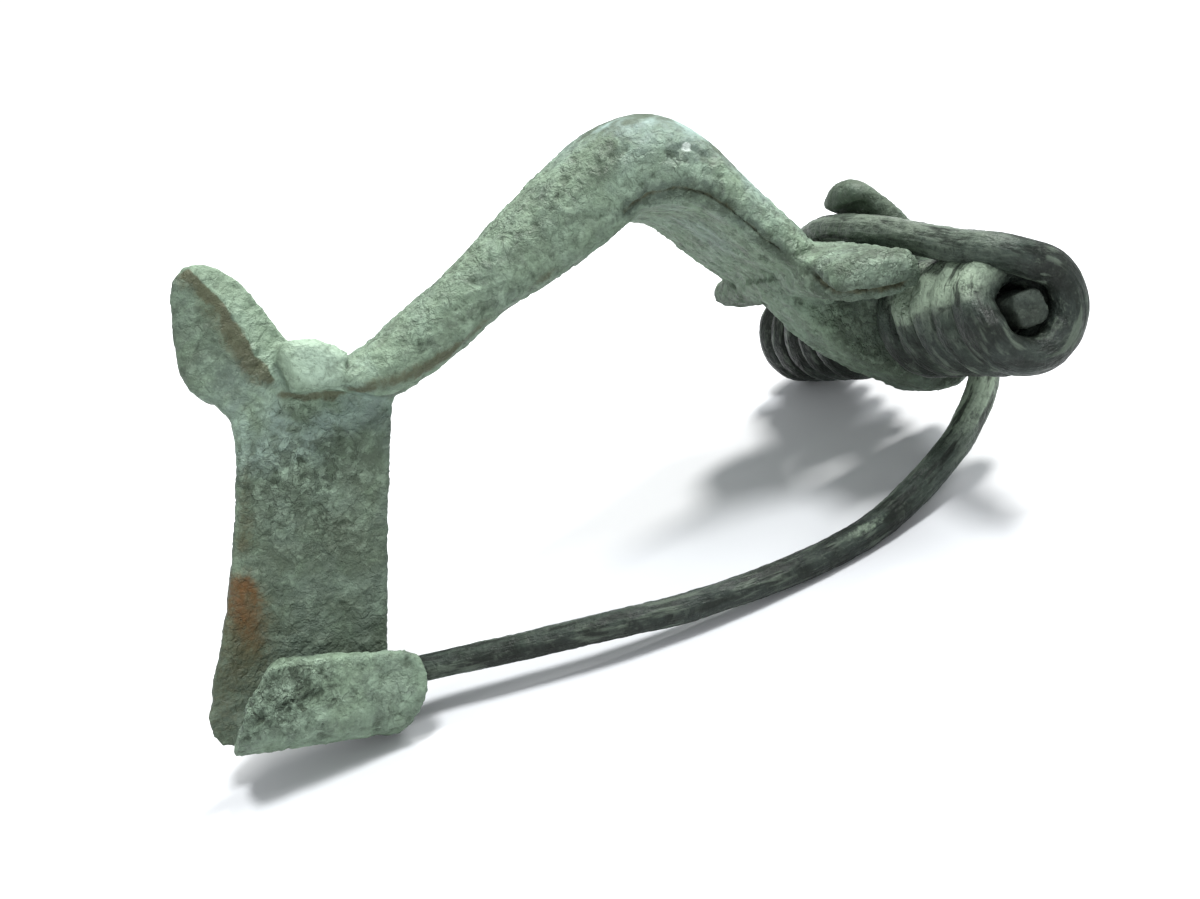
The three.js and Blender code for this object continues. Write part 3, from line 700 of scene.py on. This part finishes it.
def smoothRoute(places, step, fineSteps=40):  # a centripetal Catmull-Rom curve, evenly spaced
    places = np.array(places, dtype=float)
    padded = np.vstack([2 * places[0] - places[1], places, 2 * places[-1] - places[-2]])
    fine = []
    for p0, p1, p2, p3 in zip(padded, padded[1:], padded[2:], padded[3:]):
        d0, d1, d2 = (np.linalg.norm(b - a) ** 0.5 for a, b in ((p0, p1), (p1, p2), (p2, p3)))
        leave = ((p1 - p0) / d0 - (p2 - p0) / (d0 + d1) + (p2 - p1) / d1) * d1
        arrive = ((p2 - p1) / d1 - (p3 - p1) / (d1 + d2) + (p3 - p2) / d2) * d1
        t = np.linspace(0, 1, fineSteps, endpoint=False)[:, None]
        fine.append((2 * t**3 - 3 * t**2 + 1) * p1 + (t**3 - 2 * t**2 + t) * leave
                    + (3 * t**2 - 2 * t**3) * p2 + (t**3 - t**2) * arrive)
    fine = np.vstack(fine + [places[-1:]])
    run = np.concatenate([[0], np.cumsum(np.linalg.norm(np.diff(fine, axis=0), axis=1))])
    stops = np.linspace(0, run[-1], round(run[-1] / step) + 1)
    return np.stack([np.interp(stops, run, fine[:, axis]) for axis in range(3)], axis=1)


def nearestTo(route, place):
    return int(np.argmin(np.linalg.norm(route - place, axis=1)))


def wireStretches():  # pin from its point on, near turns, chord and far turns, end to end
    near, far = turnsOf(-1), turnsOf(1)[::-1]
    lead, step = spring["leadSteps"], spring["routeStep"]
    pin = smoothRoute([*pinRoute[::-1], near[0], near[lead]], step)
    pin = pin[:nearestTo(pin, near[0])]
    chord = smoothRoute([near[-1 - lead], near[-1], *skewed(chordRoute), far[0], far[lead]], step)
    chord = chord[nearestTo(chord, near[-1]) + 1:nearestTo(chord, far[0])]
    return pin, near, chord, far


def buildWireTree():
    tree, given, out = openGroup("wire", [
        ("Sides", "Int", 32), ("Step", "Float", 0.14), ("Widening", "Float", 1.0),
        ("Streak Depth", "Float", 0.3), ("Material", "Material", None),
    ])
    take = given.outputs
    path = addNode(tree, "GeometryNodeMeshToCurve", {"Mesh": take["Geometry"]}).outputs[0]
    path = addNode(tree, "GeometryNodeResampleCurve", {
        "Curve": path, "Length": multiply(tree, take["Step"], mm)}, mode="LENGTH").outputs[0]
    capture = addNode(tree, "GeometryNodeCaptureAttribute", {"Geometry": path})
    capture.capture_items.new("VECTOR", "middle")
    tree.links.new(addNode(tree, "GeometryNodeInputPosition").outputs[0], capture.inputs["middle"])
    capture.capture_items.new("FLOAT", "run")
    tree.links.new(addNode(tree, "GeometryNodeSplineParameter").outputs["Length"], capture.inputs["run"])
    ring = addNode(tree, "GeometryNodeCurvePrimitiveCircle", {"Resolution": take["Sides"], "Radius": mm})
    skin = addNode(tree, "GeometryNodeCurveToMesh", {
        "Curve": capture.outputs["Geometry"], "Profile Curve": ring.outputs[0],
        "Scale": stored(tree, "thickness"), "Fill Caps": True,
    }).outputs[0]
    skinPlace = addNode(tree, "GeometryNodeInputPosition").outputs[0]
    fromMiddle = vectorNode(tree, "SUBTRACT", skinPlace, capture.outputs["middle"])

    # a turn of the spring is wider along the spring's axis than it is deep
    axis = tuple(restTurn[:, 1])
    sideways = addNode(tree, "ShaderNodeVectorMath", {0: fromMiddle, 1: axis}, operation="DOT_PRODUCT")
    more = multiply(tree, subtract(tree, take["Widening"], 1.0), stored(tree, "coiled"))
    widened = scaled(tree, axis, multiply(tree, sideways.outputs["Value"], more))

    aside = scaled(tree, fromMiddle, 1 / mm)
    run = mathNode(tree, "DIVIDE", capture.outputs["run"], mm)
    streak = subtract(tree, streaks(tree, aside, run, 1.6, 2.0), 0.5)
    streak = multiply(tree, streak, take["Streak Depth"])
    worn = scaled(tree, aside, multiply(tree, streak, mm))
    skin = store(tree, skin, "aside", "FLOAT_VECTOR", aside)
    skin = store(tree, skin, "run", "FLOAT", run)
    offset = vectorNode(tree, "ADD", widened, worn)
    skin = addNode(tree, "GeometryNodeSetPosition", {"Geometry": skin, "Offset": offset}).outputs[0]
    closeGroup(tree, skin, take["Material"], out)
    return tree


def sweepWire(stretches):
    pin, near, chord, far = stretches
    route = np.vstack(stretches)
    radii = np.full(len(route), spring["wireRadius"])
    radii[:len(pin)] = np.interp(np.linspace(0, 1, len(pin)), spring["pinShares"], spring["pinRadii"])
    coiled = np.repeat([0.0, 1.0, 0.0, 1.0], [len(stretch) for stretch in stretches])
    easing = 15  # points over which a turn's widening comes in
    coiled = np.convolve(np.pad(coiled, easing // 2, mode="edge"), np.ones(easing) / easing, mode="valid")
    mesh = bpy.data.meshes.new("wire route")
    mesh.from_pydata(toRestFrame(route).tolist(), [(i, i + 1) for i in range(len(route) - 1)], [])
    setFloats(mesh, "thickness", radii)
    setFloats(mesh, "coiled", coiled)
    wire = newObject("wire_spring_and_pin", mesh)
    sweep = wire.modifiers.new("wire", "NODES")
    sweep.node_group = buildWireTree()
    setInputs(sweep, dict(spring["wire"], Material=wireMaterial))
    makePlain(wire)
    return wire


def makeSpringAndPin():
    wear = springWear
    stretches = wireStretches()
    wire = sweepWire(stretches)
    pin, near, chord, far = stretches
    places = toBowFrame(pointsOf(wire.data))
    x, y, z = places.T
    run = getFloats(wire.data, "run")
    lengths = np.linalg.norm(np.diff(np.vstack(stretches), axis=0), axis=1)
    counts = np.cumsum([len(pin), len(near), len(chord)])
    pinEnds, nearEnds, chordEnds = (lengths[:count].sum() for count in counts)
    onPin = run < pinEnds
    onNear = (run >= pinEnds) & (run < nearEnds)
    onChord = (run >= nearEnds) & (run < chordEnds)
    onFar = run >= chordEnds
    crusted = sum(spread(places, *spot) for spot in wear["crustSpots"])
    crusted = np.clip(wear["crustCover"] * crusted, 0, 1) * onNear

    # the crust fills the turns' tops, the bore is narrower at the near end, and the end turn is flat
    turning = np.hypot(x, z)
    filled = wear["crustFill"] * crusted * fade(y, *wear["fillEnd"]) * (turning > wear["fillInner"])
    filled *= np.clip(wear["fillOuter"] - turning, 0, 1)
    tight = wear["boreTightening"] * fade(turning, *wear["boreEdge"])
    tight *= (y < wear["boreEnd"]) & (onNear | onChord)
    aside = getFloats(wire.data, "aside", "vector", 3).reshape(-1, 3)
    outward = -(aside @ restTurn[:, 1]) / spring["wireRadius"]  # 1 on the side towards the near end
    turnLength = 2 * pi * (spring["coilRadius"] - spring["wireRadius"])
    endTurnStart = nearEnds - wear["endTurnShare"] * turnLength
    endTurn = fade(run, endTurnStart, endTurnStart + wear["endEaseIn"])
    endTurn *= fade(run, nearEnds + wear["endEaseOut"], nearEnds)
    toEndFace = wear["endFace"] - (y + spring["wireRadius"] * (outward - 1))
    shaped = places.copy()
    shaped[:, 0] += (filled - tight) * x / turning
    shaped[:, 1] += endTurn * np.clip(0.5 + 0.5 * outward, 0, 1) ** wear["endSharpness"] * toEndFace
    shaped[:, 2] += (filled - tight) * z / turning
    wire.data.vertices.foreach_set("co", toRestFrame(shaped).ravel())
    wire.data.update()

    headwards, upward = normalsOf(wire.data)[:, 0], normalsOf(wire.data)[:, 2]
    # where the pin's bend takes its painted highlight
    bend = sum(spread(places, *spot) for spot in wear["pinHighlightSpots"]) * onPin
    rough = np.where(onPin, wear["roughPin"], wear["roughTurns"]) + wear["roughCrust"] * crusted
    # tone holds painted light: lighter on upward faces, on the pin's side towards the head and on the
    # highlight of its bend
    zones = {
        "rough": rough * (1 - wear["endTurnSmooth"] * endTurn),
        "tone": (wear["tone"] + wear["paintedLightUpward"] * upward + wear["toneCrust"] * crusted
                 + (wear["tonePin"] + wear["paintedLightPinHeadwards"] * headwards) * onPin
                 + wear["toneChord"] * onChord + wear["toneFar"] * onFar
                 + wear["toneEndTurn"] * endTurn + wear["highlightToneBend"] * bend),
        "carve": wear["carveCrust"] * crusted,
        "flaky": wear["flaky"] + wear["flakyCrust"] * crusted,
        "blue": wear["blue"],
        "chalkAndHighlight": (wear["chalkCrust"] * crusted
                  + wear["highlightChalkBend"] * bend * fade(upward, *wear["bendFacing"])),
    }
    addMarks(zones, places, wear["marks"])
    setZones(wire.data, zones)
    coverWithCrust(wire, spring["crust"], wireMaterial)
    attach(wire, "root")
    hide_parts("spring_and_pin")
    print("spring and pin:", len(wire.data.polygons), "faces")


makeSpringAndPin()

# the rod

rod = {
    "halfWidth": 0.84, "squareness": 3.4, "nearEnd": -12.45, "farEnd": 12.6, "sides": 48, "ringStep": 0.12,
    # half of an end's profile, from its dimpled middle out: share of the half width, depth from the end
    "endProfile": ((0.04, 0.14), (0.112, 0.119), (0.208, 0.03), (0.4, 0.0), (0.6, 0.0), (0.78, 0.01),
                   (0.9, 0.05), (0.97, 0.12), (1.0, 0.22)),
    "zones": {"rough": 0.8, "flaky": 0.2, "blue": 0.2},
    "crust": {
        "Ridge Size": 0.6, "Ridge Stretch": 1.0, "Ridge Depth": 0.03, "Flake Size": 1.0, "Flake Depth": 0.03,
        "Pit Size": 0.5, "Pit Depth": 0.05, "Pit Share": 0.5, "Grain Size": 0.2, "Grain Depth": 0.015,
        "Seed": 5.1,
    },
}


def rodRing(y, size):  # between a circle and a square
    points = []
    for side in range(rod["sides"]):
        angle = 2 * pi * side / rod["sides"]
        reach = abs(cos(angle)) ** rod["squareness"] + abs(sin(angle)) ** rod["squareness"]
        radius = rod["halfWidth"] * size / reach ** (1 / rod["squareness"])
        points.append((radius * cos(angle), y, radius * sin(angle)))
    return points


def makeRod():
    sides, profile = rod["sides"], rod["endProfile"]
    endDepth = profile[-1][1]
    shaft = rod["farEnd"] - rod["nearEnd"] - 2 * endDepth
    count = round(shaft / rod["ringStep"])
    rows = [(size, rod["nearEnd"] + depth) for size, depth in profile]
    rows += [(1.0, rod["nearEnd"] + endDepth + shaft * i / count) for i in range(1, count)]
    rows += [(size, rod["farEnd"] - depth) for size, depth in reversed(profile)]
    points = skewed([point for size, y in rows for point in rodRing(y, size)])
    faces = []
    for row in range(len(rows) - 1):
        for side in range(sides):
            this, following = row * sides + side, row * sides + (side + 1) % sides
            faces.append((this, following, following + sides, this + sides))
    faces += [tuple(range(sides))[::-1], tuple(range((len(rows) - 1) * sides, len(rows) * sides))]
    mesh = bpy.data.meshes.new("rod")
    mesh.from_pydata(toRestFrame(points).tolist(), [], faces)
    shape = bmesh.new()
    shape.from_mesh(mesh)
    bmesh.ops.recalc_face_normals(shape, faces=shape.faces)
    shape.to_mesh(mesh)
    shape.free()
    bar = newObject("rod_through_spring", mesh)
    setZones(mesh, rod["zones"])
    coverWithCrust(bar, rod["crust"], rodMaterial)
    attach(bar, "root")
    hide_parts("axis_rod")
    print("rod:", len(bar.data.polygons), "faces")


makeRod()

# floor, light and camera

stage = {
    "floorHalf": 1.2, "floorColor": (0.68, 0.69, 0.705), "floorRoughness": 0.9,
    "worldColor": (0.95, 0.975, 1.0), "worldStrength": 0.55,
    "wallColor": (1.0, 1.0, 1.0), "wallBrightness": 0.97,  # what the camera sees behind the floor
    # name: (place in metres, aim, size, watts, colour)
    "lights": {
        "window at the back right": ((0.61, 0.38, 1.0), (0, 0, 0.01), 0.26, 17.5, (1.0, 0.99, 0.97)),
        "ceiling": ((0.1, -0.1, 1.0), (0, 0, 0.01), 0.26, 8.6, (0.98, 0.99, 1.0)),
        "front right": ((0.6, -0.25, 0.76), (0, 0, 0.01), 0.3, 3.4, (0.97, 0.99, 1.0)),
        "front": ((-0.35, -0.9, 0.5), (0, 0, 0.01), 0.5, 1.0, (0.97, 0.99, 1.0)),
    },
}


def makeFloor():
    half = stage["floorHalf"]
    corners = [(-half, -half, 0), (half, -half, 0), (half, half, 0), (-half, half, 0)]
    mesh = bpy.data.meshes.new("floor")
    mesh.from_pydata(corners, [], [(0, 1, 2, 3)])
    floor = newObject("floor", mesh)
    paint = bpy.data.materials.new("pale floor")
    paint.use_nodes = True
    shader = paint.node_tree.nodes["Principled BSDF"]
    shader.inputs["Base Color"].default_value = (*stage["floorColor"], 1)
    shader.inputs["Roughness"].default_value = stage["floorRoughness"]
    mesh.materials.append(paint)


def makeLight():
    world = bpy.data.worlds.new("soft white room")
    bpy.context.scene.world = world
    world.use_nodes = True
    tree = world.node_tree
    background = tree.nodes["Background"]
    background.inputs["Color"].default_value = (*stage["worldColor"], 1)
    background.inputs["Strength"].default_value = stage["worldStrength"]
    wallInputs = {"Color": (*stage["wallColor"], 1), "Strength": stage["wallBrightness"]}
    wall = addNode(tree, "ShaderNodeBackground", wallInputs)
    seen = addNode(tree, "ShaderNodeLightPath").outputs["Is Camera Ray"]
    room = addNode(tree, "ShaderNodeMixShader", {0: seen, 1: background.outputs[0], 2: wall.outputs[0]})
    tree.links.new(room.outputs[0], tree.nodes["World Output"].inputs["Surface"])

    for name, (place, aim, size, watts, color) in stage["lights"].items():
        lamp = bpy.data.lights.new(name, "AREA")
        lamp.shape = "DISK"
        lamp.size = size
        lamp.energy = watts
        lamp.color = color
        holder = newObject(name, lamp)
        holder.location = place
        holder.rotation_euler = (Vector(aim) - Vector(place)).to_track_quat("-Z", "Y").to_euler()


makeFloor()
makeLight()

view = {
    "place": (-34.27, -67.69, 11.94),  # in the bow's frame, as the directions are
    "forward": (0.2344, 0.9595, -0.1564),
    "down": (-0.4296, -0.0421, -0.902),
    "lens": 42.0, "sensor": 36.0, "clip": (0.005, 10.0),
}


def makeCamera():
    forward = Vector(restTurn @ np.array(view["forward"])).normalized()
    up = -Vector(restTurn @ np.array(view["down"])).normalized()
    right = forward.cross(up).normalized()
    up = right.cross(forward)
    camera = newObject("camera", bpy.data.cameras.new("camera"))
    camera.data.lens = view["lens"]
    camera.data.sensor_width = view["sensor"]
    camera.data.clip_start, camera.data.clip_end = view["clip"]
    turn = Matrix((right, up, -forward)).transposed()
    camera.matrix_world = Matrix.Translation(Vector(toRestFrame([view["place"]])[0])) @ turn.to_4x4()
    bpy.context.scene.camera = camera


makeCamera()
bpy.context.scene.view_settings.view_transform = "Standard"
bpy.context.view_layer.update()
print("stage built")
